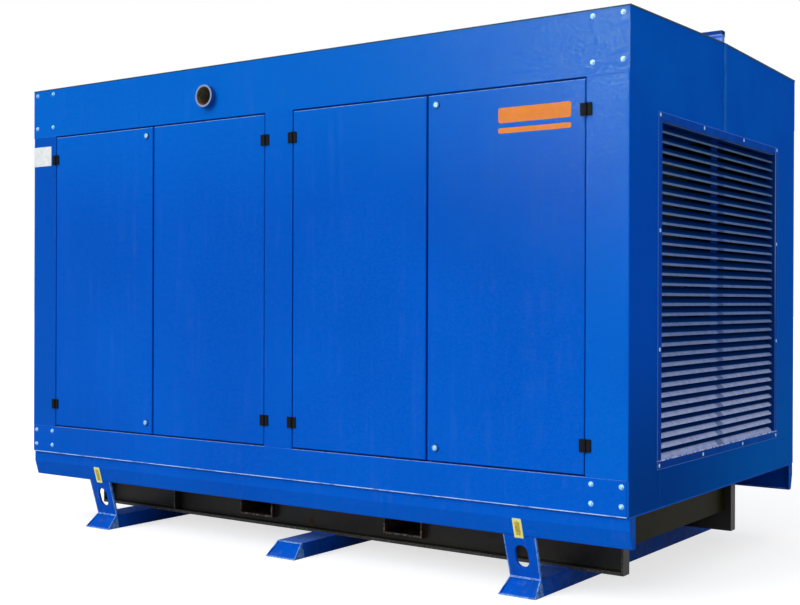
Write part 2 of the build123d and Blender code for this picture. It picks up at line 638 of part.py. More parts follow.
def alternator():
    """Alternator: a drum with a cast end bell on saddle mounts, and a terminal box on top."""
    r, x0 = ALTERNATOR_R, ALTERNATOR_X
    drum = rod((x0 + BELL_L, 0, SHAFT_Z), (1, 0, 0), r, -x0 - BELL_L)
    drum += flat_sided((x0, 0, SHAFT_Z), (1, 0, 0), r - BELL_STEP, BELL_L, CASTING_SIDES)
    drum += [saddle(x, CASE_LOW_Z) for x in (x0 + BELL_L, -BELL_L - MOUNT_T)]
    base = Pos(TERMINAL_BOX_X, 0, SHAFT_Z + r - 3 * BELL_STEP) * Rectangle(TERMINAL_BOX_L, TERMINAL_BOX_W)
    box = extrude(base, amount=TERMINAL_BOX_H)
    return drum + chamfer(box.faces().sort_by(Axis.Z)[-1].edges(), BELL_STEP)


def radiator():
    """Radiator before the right grille: core, top and bottom tanks, and a shroud bored for the fan."""
    x0, x1 = RADIATOR_X, RADIATOR_X + RADIATOR_T
    low, high = FLOOR_Z + HEADER_TANK_H, RADIATOR_TOP_Z - HEADER_TANK_H
    slant, core = HEADER_TANK_SLANT, CORE_SET
    side = [(x0, FLOOR_Z), (x1, FLOOR_Z), (x1, low), (x1 - core, low), (x1 - core, high), (x1, high),
            (x1, RADIATOR_TOP_Z - slant), (x1 - slant, RADIATOR_TOP_Z), (x0 + slant, RADIATOR_TOP_Z),
            (x0, RADIATOR_TOP_Z - slant), (x0, high), (x0 + core, high), (x0 + core, low), (x0, low)]
    shape = along_y(side, -RADIATOR_HALF, RADIATOR_HALF)
    shroud = Plane((x0 + core, 0, FAN_Z), z_dir=(-1, 0, 0)) * Rectangle(SHROUD_W, SHROUD_W)
    shape += extrude(shroud, amount=SHROUD_L, taper=SHROUD_TAPER)
    start = (x0 + core - SHROUD_L, 0, FAN_Z)
    return shape - flat_sided(start, (1, 0, 0), FAN_R + FAN_GAP, SHROUD_L, 2 * CASTING_SIDES)


def save(name, shape):
    """Write one piece, or several like pieces, as one STEP file."""
    export_step(shape, f"parts/{name}.step")


def both_sides(name, shape):
    """Write a front piece and its like at the back."""
    save(name + "_front", shape)
    save(name + "_back", turn_to_back(shape))


def both_ends(name, shape):
    """Write a right-hand piece and its like at the left."""
    save(name + "_right", shape)
    save(name + "_left", turn_to_left(shape))


os.makedirs("parts", exist_ok=True)

for name, x in (("left", -FOOT_X), ("middle", 0.0), ("right", FOOT_X)):
    save(f"foot_{name}", foot(x))
both_sides("bracket_left", bracket(-FOOT_X))
both_sides("bracket_right", bracket(FOOT_X))
both_sides("base_rail", base_rail())
both_sides("skid_beam", skid_beam())
both_ends("fork_pocket", fork_pocket(POCKET_X))
save("fuel_tank", fuel_tank())
save("floor_plate", floor_plate())

both_sides("corner_post_right", corner_post())
both_sides("corner_post_left", turn_to_left(corner_post()))
both_sides("middle_post", middle_post())
both_sides("sill", sill())
save("header_front", header(True))
save("header_back", turn_to_back(header(False)))
both_ends("end_wall", end_wall())
both_ends("louvre", louvre())
both_sides("roof", roof_half())
save("ridge_cap", ridge_cap())

frame_leaves, back_hinges = [], []
for index in range(4):
    hinge, side = hinge_x(index)
    save(f"door_{index + 1}", door(index))
    save(f"back_door_{index + 1}", turn_to_back(door(index)))
    save(f"door_hinges_{index + 1}", Compound([door_leaf(hinge, z, side) for z in HINGE_HEIGHTS]))
    frame_leaves += [frame_leaf(hinge, z, side) for z in HINGE_HEIGHTS]
    back_hinges += [closed_hinge(hinge, z) for z in HINGE_HEIGHTS]
save("hinge_frames_front", Compound(frame_leaves))
save("hinges_back", turn_to_back(Compound(back_hinges)))
save("locks_1", Compound([lock(-LOCK_X, z) for z in LOCK_HEIGHTS]))
save("locks_4", Compound([lock(LOCK_X, z) for z in LOCK_HEIGHTS]))

save("tailpipe", tailpipe())
save("silencer", silencer())
save("engine", engine())
save("alternator", alternator())
save("radiator", radiator())
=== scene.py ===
import math

import bmesh
import bpy
from mathutils import Matrix, Vector


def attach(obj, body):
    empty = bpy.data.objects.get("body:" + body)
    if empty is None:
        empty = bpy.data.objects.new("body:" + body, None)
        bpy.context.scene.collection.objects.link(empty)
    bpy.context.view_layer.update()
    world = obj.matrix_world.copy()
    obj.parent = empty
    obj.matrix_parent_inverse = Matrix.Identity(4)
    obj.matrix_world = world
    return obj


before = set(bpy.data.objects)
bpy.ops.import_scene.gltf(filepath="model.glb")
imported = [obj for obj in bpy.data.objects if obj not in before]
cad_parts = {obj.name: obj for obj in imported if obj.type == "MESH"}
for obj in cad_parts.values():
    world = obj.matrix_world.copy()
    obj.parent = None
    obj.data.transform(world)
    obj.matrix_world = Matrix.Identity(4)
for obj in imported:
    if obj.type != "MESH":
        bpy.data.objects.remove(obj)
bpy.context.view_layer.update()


# Camera
# It stands off the right front corner at chest height, almost level.
# Its place, turn and lens were worked out from the straight edges of the canopy.
CAMERA_AT = (3.72445, -5.26723, 1.1942)
camera_data = bpy.data.cameras.new("camera")
camera_data.lens = 55.19
camera_data.sensor_width = 36.0
camera_data.clip_end = 200.0
camera = bpy.data.objects.new("camera", camera_data)
bpy.context.collection.objects.link(camera)
yaw, pitch, roll = math.radians(35.33), math.radians(-0.11), math.radians(0.21)
forward = Vector((-math.sin(yaw) * math.cos(pitch), math.cos(yaw) * math.cos(pitch), math.sin(pitch)))
level_right = Vector((math.cos(yaw), math.sin(yaw), 0.0))
level_up = level_right.cross(forward)
right = math.cos(roll) * level_right + math.sin(roll) * level_up
up = math.cos(roll) * level_up - math.sin(roll) * level_right
turn = Matrix((right, up, -forward)).transposed().to_4x4()
camera.matrix_world = Matrix.Translation(CAMERA_AT) @ turn
bpy.context.scene.camera = camera


# Studio
# A plain pale floor under a white surround, lit by an even world, two broad soft suns and one
# softbox whose shine shows on the coat of the paint at the right front corner.
def new_material(name):
    material = bpy.data.materials.new(name)
    material.use_nodes = True
    return material, material.node_tree.nodes["Principled BSDF"]


def connect(source, target):
    source.id_data.links.new(source, target)


def combine(operation, first, second):
    joined = first.id_data.nodes.new("ShaderNodeMath")
    joined.operation = operation
    connect(first, joined.inputs[0])
    if isinstance(second, float):
        joined.inputs[1].default_value = second
    else:
        connect(second, joined.inputs[1])
    return joined.outputs[0]


def between(value, low, high, to_low=0.0, to_high=1.0):
    step = value.id_data.nodes.new("ShaderNodeMapRange")
    step.interpolation_type = "SMOOTHSTEP"
    step.inputs["From Min"].default_value = low
    step.inputs["From Max"].default_value = high
    step.inputs["To Min"].default_value = to_low
    step.inputs["To Max"].default_value = to_high
    connect(value, step.inputs["Value"])
    return step.outputs[0]


def sees_background(tree):
    ray = tree.nodes.new("ShaderNodeLightPath")
    seen = combine("MAXIMUM", ray.outputs["Is Camera Ray"], ray.outputs["Is Glossy Ray"])
    return combine("MAXIMUM", seen, ray.outputs["Is Transmission Ray"])


FLOOR_LIFT = 0.70
WORLD_LEVEL = 0.42
FLOOR_HALF = 90.0
floor_material, shader = new_material("studio_floor")
shader.inputs["Base Color"].default_value = (0.46, 0.46, 0.46, 1.0)
shader.inputs["Roughness"].default_value = 0.9
shader.inputs["Specular IOR Level"].default_value = 0.0
tree = floor_material.node_tree
lift = tree.nodes.new("ShaderNodeEmission")
both = tree.nodes.new("ShaderNodeAddShader")
connect(combine("MULTIPLY", sees_background(tree), FLOOR_LIFT), lift.inputs["Strength"])
connect(shader.outputs[0], both.inputs[0])
connect(lift.outputs[0], both.inputs[1])
connect(both.outputs[0], tree.nodes["Material Output"].inputs["Surface"])

bm = bmesh.new()
bmesh.ops.create_grid(bm, x_segments=1, y_segments=1, size=FLOOR_HALF)
floor_mesh = bpy.data.meshes.new("studio_floor")
bm.to_mesh(floor_mesh)
bm.free()
floor_mesh.materials.append(floor_material)
studio_floor = bpy.data.objects.new("studio_floor", floor_mesh)
bpy.context.collection.objects.link(studio_floor)

world = bpy.data.worlds.new("studio_world")
bpy.context.scene.world = world
world.use_nodes = True
background = world.node_tree.nodes["Background"]
background.inputs["Color"].default_value = (1.0, 1.0, 1.0, 1.0)
connect(between(sees_background(world.node_tree), 0.0, 1.0, WORLD_LEVEL, 1.0), background.inputs["Strength"])


def soft_sun(name, azimuth, elevation, strength, angle):
    data = bpy.data.lights.new(name, "SUN")
    data.energy = strength
    data.angle = math.radians(angle)
    sun = bpy.data.objects.new(name, data)
    bpy.context.collection.objects.link(sun)
    a, e = math.radians(azimuth), math.radians(elevation)
    source = Vector((-math.sin(a) * math.cos(e), -math.cos(a) * math.cos(e), math.sin(e)))
    sun.rotation_euler = source.to_track_quat("Z", "Y").to_euler()


soft_sun("front_sun", 24.0, 34.0, 2.35, 40.0)
soft_sun("top_sun", -60.0, 72.0, 0.75, 60.0)
SOFTBOX_AT, SOFTBOX_AIM = Vector((-0.70, -8.6, 4.60)), Vector((1.6, -0.98, 2.2))
softbox_data = bpy.data.lights.new("glare_lamp", "AREA")
softbox_data.shape = "DISK"
softbox_data.size = 3.4
softbox_data.energy = 2050.0
softbox_data.color = (0.88, 1.0, 0.60)
softbox = bpy.data.objects.new("glare_lamp", softbox_data)
bpy.context.collection.objects.link(softbox)
softbox.location = SOFTBOX_AT
softbox.rotation_euler = (SOFTBOX_AT - SOFTBOX_AIM).to_track_quat("Z", "Y").to_euler()
softbox.visible_diffuse = False
bpy.context.scene.view_settings.view_transform = "Standard"


# Skid beams, fuel tank and fork pockets
# Hot-rolled channels, a folded tank and two sleeves, welded and sprayed satin black.
# Dust lies on the paint, which has worn to brown rust in patches, most of all in the sleeves.
def noise(place, scale, detail=3.0, roughness=0.55, stretch=(1.0, 1.0, 1.0)):
    spread = place.id_data.nodes.new("ShaderNodeMapping")
    spread.inputs["Scale"].default_value = stretch
    texture = place.id_data.nodes.new("ShaderNodeTexNoise")
    texture.inputs["Scale"].default_value = scale
    texture.inputs["Detail"].default_value = detail
    texture.inputs["Roughness"].default_value = roughness
    connect(place, spread.inputs["Vector"])
    connect(spread.outputs[0], texture.inputs["Vector"])
    return texture.outputs["Fac"]


def times(first, *others):
    for other in others:
        first = combine("MULTIPLY", first, other)
    return first


def away(value, middle=None):
    return combine("ABSOLUTE", value if middle is None else combine("SUBTRACT", value, middle), 0.0)


def tint(factor, first, second):
    mix = factor.id_data.nodes.new("ShaderNodeMix")
    mix.data_type = "RGBA"
    connect(factor, mix.inputs["Factor"])
    for socket, colour in ((mix.inputs[6], first), (mix.inputs[7], second)):
        if isinstance(colour, tuple):
            socket.default_value = (*colour, 1.0)
        else:
            connect(colour, socket)
    return mix.outputs[2]


def relief(shader, height, depth, strength=1.0, coat=False):
    bump = shader.id_data.nodes.new("ShaderNodeBump")
    bump.inputs["Strength"].default_value = strength
    bump.inputs["Distance"].default_value = depth
    connect(height, bump.inputs["Height"])
    connect(bump.outputs[0], shader.inputs["Normal"])
    if coat:
        connect(bump.outputs[0], shader.inputs["Coat Normal"])


def on_object(shader):
    return shader.id_data.nodes.new("ShaderNodeTexCoord").outputs["Object"]


def position(shader):
    place = on_object(shader)
    split = shader.id_data.nodes.new("ShaderNodeSeparateXYZ")
    connect(place, split.inputs[0])
    return place, split.outputs


def finish_nodes(material, *names):
    for name in names:
        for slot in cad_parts[name].material_slots:
            slot.material = material


def add_piece(name, bm, material, body):
    bmesh.ops.remove_doubles(bm, verts=bm.verts, dist=0.00001)
    bmesh.ops.recalc_face_normals(bm, faces=bm.faces)
    mesh = bpy.data.meshes.new(name)
    bm.to_mesh(mesh)
    bm.free()
    mesh.materials.append(material)
    piece = bpy.data.objects.new(name, mesh)
    bpy.context.collection.objects.link(piece)
    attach(piece, body)


def weld_bead(bm, start, end, radius):
    run = Vector(end) - Vector(start)
    middle = Matrix.Translation((Vector(start) + Vector(end)) / 2)
    bmesh.ops.create_cone(bm, cap_ends=True, segments=8, radius1=radius, radius2=radius, depth=run.length,
                          matrix=middle @ run.to_track_quat("Z", "Y").to_matrix().to_4x4())


def bead_round(bm, y, corners, radius):
    for (x0, z0), (x1, z1) in zip(corners, corners[1:] + corners[:1]):
        weld_bead(bm, (x0, y, z0), (x1, y, z1), radius)


def black_steel(name, rust_from, rust_to, edge_y, bare, shine=0.16, level=1.15, cold=1.15):
    material, shader = new_material(name)
    place, at = position(shader)
    grain = noise(place, 240.0, 3.0, 0.6)
    paint = tint(between(noise(place, 2.2, 5.0, 0.62), 0.35, 0.68),
                 (0.0095 * level, 0.0098 * level, 0.0105 * cold), (0.029 * level, 0.026 * level, 0.022 * cold))
    rust = tint(between(grain, 0.35, 0.65), (0.040, 0.018, 0.010), (0.090, 0.042, 0.022))
    worn = between(noise(place, 14.0, 6.0, 0.68), rust_from, rust_to)
    # The outer faces of the lips turn pale: part wear, part painted highlight.
    lit_edge = times(between(away(at["Y"]), edge_y, edge_y + 0.0006),
                    between(noise(place, 90.0, 5.0, 0.7), 0.42, 0.66))
    connect(tint(lit_edge, tint(worn, paint, rust), bare), shader.inputs["Base Color"])
    connect(between(worn, 0.0, 1.0, 0.40, 0.85), shader.inputs["Roughness"])
    shader.inputs["Specular IOR Level"].default_value = shine
    relief(shader, combine("ADD", grain, worn), 0.0006, 0.6)
    return material


# Pale lip colours: bare steel and painted highlight together.
WORN_LIT_STEEL, WORN_LIT_SLEEVE = (0.10, 0.10, 0.105), (0.36, 0.34, 0.34)
BEAM_LIP_Y, SLEEVE_LIP_Y = 0.6424, 0.6262
beam_steel = black_steel("satin_black_steel", 0.58, 0.80, BEAM_LIP_Y, WORN_LIT_STEEL)
pocket_steel = black_steel("rusty_sleeve_steel", 0.36, 0.62, SLEEVE_LIP_Y, WORN_LIT_SLEEVE)
tank_steel = black_steel("satin_black_tank", 0.64, 0.86, BEAM_LIP_Y, WORN_LIT_STEEL, 0.02, 0.66, 0.18)
finish_nodes(beam_steel, "skid_beam_front", "skid_beam_back")
finish_nodes(tank_steel, "fuel_tank")
finish_nodes(pocket_steel, "fork_pocket_left", "fork_pocket_right")

POCKET_X, POCKET_HALF, POCKET_LOW, POCKET_HIGH = 0.453, 0.1085, 0.104, 0.210
WEB_Y, WEB_LOW, WEB_HIGH = 0.5955, 0.080, 0.354
STIFFENER_SIDES = (-1.028, -1.018, 1.018, 1.028)
bm = bmesh.new()
for x in (-POCKET_X, POCKET_X):
    for y in (-WEB_Y, WEB_Y):
        bead_round(bm, y, [(x - POCKET_HALF, POCKET_LOW), (x + POCKET_HALF, POCKET_LOW),
                           (x + POCKET_HALF, POCKET_HIGH), (x - POCKET_HALF, POCKET_HIGH)], 0.0035)
for x in STIFFENER_SIDES:
    for y in (-WEB_Y, WEB_Y):
        weld_bead(bm, (x, y, WEB_LOW), (x, y, WEB_HIGH), 0.003)
add_piece("skid_welds", bm, pocket_steel, "canopy_and_skid")


# Cross feet and lifting brackets
# Pressed feet with their end plates set in, and slotted plates that lean out to the base rails.
# They are welded, sprayed blue over the mill scale, and chipped. The pale lines along their rims are painted
# highlights.
ENAMEL_GLOSS = 0.06
ENAMEL_PEEL = 0.0011


def facing(shader):
    normal = shader.id_data.nodes.new("ShaderNodeSeparateXYZ")
    connect(shader.id_data.nodes.new("ShaderNodeNewGeometry").outputs["Normal"], normal.inputs[0])
    return normal.outputs


def orange_peel(shader, place):
    peel = combine("ADD", noise(place, 85.0, 3.0, 0.7), noise(place, 300.0, 1.0, 0.4))
    relief(shader, peel, ENAMEL_PEEL, 0.6, coat=True)


def blue_enamel(name, wear=0.0, dust=0.06, green=1.0, up_dust_and_sheen=0.9, flat=0.60):
    material, shader = new_material(name)
    place, at = position(shader)
    patch = noise(place, 9.0, 5.0, 0.6)
    streak = noise(place, 30.0, 3.0, 0.6, (1.0, 1.0, 0.06))
    colour = tint(between(noise(place, 0.9, 3.0, 0.5), 0.30, 0.70),
                  (0.0, 0.0845 * green, 0.507), (0.0, 0.101 * green, 0.572))
    # Lighter toward the top: painted light.
    colour = tint(between(at["Z"], 1.55, 2.15, 0.0, 0.8), colour, (0.0, 0.125, 0.60))
    # Darker blue near the ground, in patches: painted shade.
    ground_shade = times(between(at["Z"], 0.30, 0.06), between(patch, 0.40, 0.75, 0.0, 0.5))
    colour = tint(ground_shade, colour, (0.010, 0.045, 0.170))
    powder = times(between(streak, 0.50, 0.75, 0.0, dust), between(patch, 0.35, 0.70))
    colour = tint(powder, colour, (0.14, 0.23, 0.55))
    # Upward faces turn pale: settled dust together with a painted highlight on up-facing bends.
    dust_and_sheen_up = times(between(facing(shader)["Z"], flat, flat + 0.08),
                    between(noise(place, 45.0, 4.0, 0.65), 0.25, 0.60, up_dust_and_sheen * 0.3, up_dust_and_sheen),
                    between(at["Z"], 2.28, 2.10))
    colour = tint(dust_and_sheen_up, colour, (0.27, 0.42, 0.82))
    if wear:
        chips = between(noise(place, 34.0, 8.0, 0.72), 0.72 - wear, 0.745 - wear)
        colour = tint(chips, colour, (0.045, 0.028, 0.022))
    connect(colour, shader.inputs["Base Color"])
    connect(between(patch, 0.30, 0.75, 0.34, 0.50), shader.inputs["Roughness"])
    shader.inputs["Specular IOR Level"].default_value = 0.0
    speckle = between(noise(place, 62.0, 5.0, 0.8), 0.42, 0.58, ENAMEL_GLOSS * 0.25, ENAMEL_GLOSS * 1.75)
    connect(speckle, shader.inputs["Coat Weight"])
    shader.inputs["Coat Roughness"].default_value = 0.11
    orange_peel(shader, place)
    return material


FOOT_X, FOOT_TOP, FOOT_TOP_HALF, FOOT_LOW_HALF, FOOT_TOP_Y = 1.256, 0.066, 0.072, 0.087, 0.895
RAIL_LOW, RAIL_LOW_Y, BRACKET_HALF, BEAM_Y, BEAM_INNER_Y = 0.244, 0.948, 0.075, 0.643, 0.585
# A slightly darker copy of the canopy enamel: painted shade under the base rails.
foot_blue = blue_enamel("scraped_blue_enamel", wear=0.05, dust=0.35, green=0.90, up_dust_and_sheen=0.30, flat=0.85)
shader = foot_blue.node_tree.nodes["Principled BSDF"]
enamel = shader.inputs["Base Color"].links[0].from_socket
place, at = position(shader)
# Pale lines along the rims of the foot and bracket ends: painted highlights.
beside = combine("MINIMUM", away(away(at["X"]), FOOT_X), away(at["X"]))
half = combine("ADD", between(at["Z"], 0.0, FOOT_TOP, FOOT_LOW_HALF, FOOT_TOP_HALF),
               between(at["Z"], FOOT_TOP, RAIL_LOW, 0.0, BRACKET_HALF - FOOT_TOP_HALF))
lit_edge = between(combine("SUBTRACT", half, beside), 0.0055, 0.0035)
lit_edge = combine("MAXIMUM", lit_edge, between(at["Z"], 0.0055, 0.004))
lit_edge = combine("MAXIMUM", lit_edge, between(away(at["Z"], FOOT_TOP - 0.0015), 0.005, 0.003))
lit_edge = times(lit_edge, between(away(at["Y"]), 0.888, 0.894),
                between(noise(place, 55.0, 5.0, 0.7), 0.36, 0.60, 0.15, 0.9))
connect(tint(lit_edge, enamel, (0.20, 0.40, 0.80)), shader.inputs["Base Color"])
finish_nodes(foot_blue, "foot_left", "foot_middle", "foot_right", "bracket_left_front", "bracket_left_back",
             "bracket_right_front", "bracket_right_back")

BRACKET_THICK, BRACKET_WELD_HALF = 0.012, 0.068
bm = bmesh.new()
for side in (-1, 1):
    for x in (-FOOT_X, FOOT_X):
        for y, z, reach, radius in ((FOOT_TOP_Y - BRACKET_THICK, FOOT_TOP, BRACKET_WELD_HALF, 0.0045),
                                    (FOOT_TOP_Y, FOOT_TOP, BRACKET_WELD_HALF, 0.003),
                                    (RAIL_LOW_Y - BRACKET_THICK, RAIL_LOW, BRACKET_HALF, 0.004)):
            weld_bead(bm, (x - reach, side * y, z), (x + reach, side * y, z), radius)
    for x in (-FOOT_X, 0.0, FOOT_X):
        for y in (side * BEAM_Y, side * BEAM_INNER_Y):
            weld_bead(bm, (x - FOOT_TOP_HALF, y, FOOT_TOP), (x + FOOT_TOP_HALF, y, FOOT_TOP), 0.004)
add_piece("foot_welds", bm, foot_blue, "canopy_and_skid")


# Base rails and floor
# Sheet steel bent lengthwise into a box section and welded along the floor's edges, sprayed blue.
# A plain yellow plate is riveted to the sloped face over each outer foot at the front.
panel_blue = blue_enamel("canopy_blue_enamel")
floor_blue = blue_enamel("floor_blue_enamel", up_dust_and_sheen=0.25)
finish_nodes(panel_blue, "base_rail_front", "base_rail_back")
finish_nodes(floor_blue, "floor_plate")


def mottled(name, grain, spread, colours, rough, depth, specular=0.5, metallic=0.0):
    material, shader = new_material(name)
    cloud = noise(on_object(shader), *grain)
    connect(tint(between(cloud, *spread) if spread else cloud, *colours), shader.inputs["Base Color"])
    if isinstance(rough, tuple):
        connect(between(cloud, 0.3, 0.7, *rough), shader.inputs["Roughness"])
    else:
        shader.inputs["Roughness"].default_value = rough
    shader.inputs["Specular IOR Level"].default_value = specular
    shader.inputs["Metallic"].default_value = metallic
    relief(shader, cloud, depth)
    return material


def rounded_plate(bm, size, corner, edge):
    made = bmesh.ops.create_cube(bm, size=1.0, matrix=Matrix.Diagonal((*size, 1.0)))
    thin = min(range(3), key=lambda axis: size[axis])
    upright = [e for e in {e for v in made["verts"] for e in v.link_edges}
               if abs((e.verts[0].co - e.verts[1].co)[thin]) > size[thin] / 2]
    bmesh.ops.bevel(bm, geom=upright, offset=corner, segments=4, profile=0.5, affect="EDGES", material=-1)
    rims = [e for e in bm.edges if len(e.link_faces) == 2 and e.calc_face_angle(0.0) > 1.0]
    bmesh.ops.bevel(bm, geom=rims, offset=edge, segments=2, profile=0.5, affect="EDGES", material=-1)


def place_in(bm, matrix):
    bmesh.ops.transform(bm, matrix=matrix, verts=bm.verts)


def rivet(bm, place, outward, radius, height, sides=12):
    turned = Vector(outward).to_track_quat("Z", "Y").to_matrix().to_4x4()
    middle = Matrix.Translation(Vector(place) + Vector(outward) * height / 2)
    made = bmesh.ops.create_cone(bm, cap_ends=True, segments=sides, radius1=radius, radius2=radius * 0.86,
                                 depth=height, matrix=middle @ turned)
    crown = [f for v in made["verts"] for f in v.link_faces if f.normal.dot(Vector(outward)) > 0.99]
    rim = {e for f in crown for e in f.edges}
    bmesh.ops.bevel(bm, geom=list(rim), offset=height * 0.45, segments=2, profile=0.5, affect="EDGES",
                    material=-1)


FORWARD = (0.0, -1.0, 0.0)
RAIL_BEND, RAIL_BEND_Y = 0.318, 0.970
PLATE_Y, PLATE_Z, PLATE_RIVET_Z = -0.9586, 0.2765, 0.039
rail_slope = math.atan2(RAIL_BEND_Y - RAIL_LOW_Y, RAIL_BEND - RAIL_LOW)
plate_yellow = mottled("yellow_plate", (60.0, 4.0, 0.65), (0.35, 0.70),
                       ((0.82, 0.80, 0.22), (0.66, 0.68, 0.26)), (0.35, 0.6), 0.0002, 0.3)
plate_ochre = mottled("ochre_panel", (80.0, 4.0, 0.65), (0.35, 0.65),
                      ((0.36, 0.26, 0.030), (0.62, 0.48, 0.060)), 0.55, 0.0002, 0.2)
for side, x in (("left", -FOOT_X), ("right", FOOT_X)):
    on_rail = Matrix.Translation((x, PLATE_Y, PLATE_Z)) @ Matrix.Rotation(rail_slope, 4, "X")
    bm = bmesh.new()
    rounded_plate(bm, (0.042, 0.0012, 0.086), 0.004, 0.0003)
    for z in (-PLATE_RIVET_Z, PLATE_RIVET_Z):
        rivet(bm, (0.0, -0.0006, z), FORWARD, 0.0024, 0.0012, 10)
    place_in(bm, on_rail)
    add_piece(f"yellow_plate_{side}", bm, plate_yellow, "canopy_and_skid")
    bm = bmesh.new()
    rounded_plate(bm, (0.022, 0.0006, 0.060), 0.003, 0.0002)
    place_in(bm, on_rail @ Matrix.Translation((0.0, -0.0009, 0.0)))
    add_piece(f"ochre_panel_{side}", bm, plate_ochre, "canopy_and_skid")


# Canopy frame
# Corner posts, middle posts, sills and headers are folded panels, sprayed blue and bolted together
# at the corners. Sealant closes the seams, rubber the doorways, and a bare plate is at the left.
# The headers take a lighter, greener copy of the canopy enamel: painted sheen.
header_sheen_blue = blue_enamel("header_blue_painted_sheen", green=1.22)
finish_nodes(panel_blue, "middle_post_front", "middle_post_back", "sill_front", "sill_back")
finish_nodes(header_sheen_blue, "header_front", "header_back")

BACKWARD = (0.0, 1.0, 0.0)
FRONT_Y = 0.983
BOLT_X, BOLT_Z = (-1.721, -1.593, 1.593, 1.721), (0.412, 0.487, 2.113, 2.291)
WASHER_R, WASHER_THICK, BOLT_R, BOLT_HIGH = 0.0110, 0.0018, 0.0078, 0.0050
# Pale blue-white heads: a painted glint.
fastener_glint_blue = mottled("fastener_painted_glint", (150.0, 3.0, 0.6), (0.35, 0.60),
                        ((0.16, 0.42, 0.85), (0.42, 0.78, 1.0)), (0.30, 0.45), 0.0002)
bm = bmesh.new()
for side, outward in ((-1, FORWARD), (1, BACKWARD)):
    for x in BOLT_X:
        for z in BOLT_Z:
            rivet(bm, (x, side * FRONT_Y, z), outward, WASHER_R, WASHER_THICK, 16)
            rivet(bm, (x, side * (FRONT_Y + WASHER_THICK), z), outward, BOLT_R, BOLT_HIGH, 6)
add_piece("corner_bolts", bm, fastener_glint_blue, "canopy_and_skid")

# A pale bead along each sill's lower edge: a painted highlight on the base rail's top bend.
SILL_SEAM_Y, SILL_SEAM_Z, SILL_SEAM_X = 0.9805, 0.3728, 1.742
highlight_bead, shader = new_material("sill_edge_highlight")
place = on_object(shader)
connect(tint(between(noise(place, 8.0, 5.0, 0.7), 0.34, 0.56), (0.02, 0.16, 0.60), (0.42, 0.62, 0.95)),
        shader.inputs["Base Color"])
shader.inputs["Roughness"].default_value = 0.6
relief(shader, noise(place, 120.0, 3.0, 0.6), 0.0004)
bm = bmesh.new()
for y in (-SILL_SEAM_Y, SILL_SEAM_Y):
    weld_bead(bm, (-SILL_SEAM_X, y, SILL_SEAM_Z), (SILL_SEAM_X, y, SILL_SEAM_Z), 0.0030)
add_piece("sill_highlight_bead", bm, highlight_bead, "canopy_and_skid")

HEADER_SEAM_Z, POST_SEAM_Y, ROOF_SEAM_Y, ROOF_SEAM_Z = 2.062, 0.691, 0.934, 2.3172
bm = bmesh.new()
for side in (-1, 1):
    for y in (-FRONT_Y, FRONT_Y):
        weld_bead(bm, (side * 1.570, y, HEADER_SEAM_Z), (side * 1.745, y, HEADER_SEAM_Z), 0.0011)
    for y in (-POST_SEAM_Y, POST_SEAM_Y):
        weld_bead(bm, (side * 1.750, y, 0.376), (side * 1.750, y, 0.540), 0.0012)
    weld_bead(bm, (-1.748, side * ROOF_SEAM_Y, ROOF_SEAM_Z), (1.748, side * ROOF_SEAM_Y, ROOF_SEAM_Z), 0.0012)
add_piece("seam_sealant", bm, panel_blue, "canopy_and_skid")

SEAL_Y, SEAL_LOW, SEAL_HIGH, SEAL_NEAR, SEAL_FAR, SEAL_R = 0.9385, 0.522, 2.052, 0.093, 1.558, 0.0034
rubber = mottled("door_seal_rubber", (120.0, 3.0, 0.6), None,
                 ((0.009, 0.009, 0.010), (0.022, 0.022, 0.023)), (0.6, 0.8), 0.0003)
bm = bmesh.new()
for x0, x1 in ((-SEAL_FAR, -SEAL_NEAR), (SEAL_NEAR, SEAL_FAR)):
    for y in (-SEAL_Y, SEAL_Y):
        bead_round(bm, y, [(x0, SEAL_LOW), (x1, SEAL_LOW), (x1, SEAL_HIGH), (x0, SEAL_HIGH)], SEAL_R)
add_piece("door_seals", bm, rubber, "canopy_and_skid")

bare_plate = mottled("bare_plate", (26.0, 4.0, 0.6), (0.35, 0.70),
                     ((0.74, 0.78, 0.80), (0.60, 0.64, 0.66)), (0.35, 0.55), 0.0002)
bm = bmesh.new()
rounded_plate(bm, (0.137, 0.0012, 0.104), 0.005, 0.0003)
for x in (-0.061, 0.061):
    for z in (-0.044, 0.044):
        rivet(bm, (x, -0.0006, z), FORWARD, 0.0028, 0.0012, 10)
place_in(bm, Matrix.Translation((-1.675, -FRONT_Y - 0.0006, 1.9595)))
add_piece("plain_plate", bm, bare_plate, "canopy_and_skid")


# End walls and grilles
# Sheet panels between the posts, each with a frame of bent blades screwed over its opening.
# The paint is flatter than on the long sides. The blades carry pale dust, painted sheen and painted shade.
def end_enamel(name):
    material, shader = new_material(name)
    place, at = position(shader)
    cloud = noise(place, 1.6, 4.0, 0.55)
    # Darker toward the bottom at the front corner and lighter toward the top: painted shade and painted light.
    across = between(at["Y"], -0.75, 0.75)
    low = tint(across, (0.0, 0.057, 0.350), (0.0, 0.128, 0.590))
    middle = tint(across, (0.0, 0.090, 0.640), (0.0, 0.106, 0.620))
    high = tint(between(cloud, 0.35, 0.65), (0.0, 0.100, 0.660), (0.0, 0.126, 0.720))
    colour = tint(between(at["Z"], 0.40, 1.15), low, middle)
    connect(tint(between(at["Z"], 1.50, 2.15), colour, high), shader.inputs["Base Color"])
    connect(between(cloud, 0.30, 0.75, 0.40, 0.55), shader.inputs["Roughness"])
    shader.inputs["Specular IOR Level"].default_value = 0.0
    shader.inputs["Coat Weight"].default_value = 0.012
    shader.inputs["Coat Roughness"].default_value = 0.11
    relief(shader, noise(place, 75.0, 2.0, 0.6), 0.0004, 0.5, coat=True)
    return material


end_blue = end_enamel("end_wall_blue_enamel")
finish_nodes(end_blue, "end_wall_left", "end_wall_right")

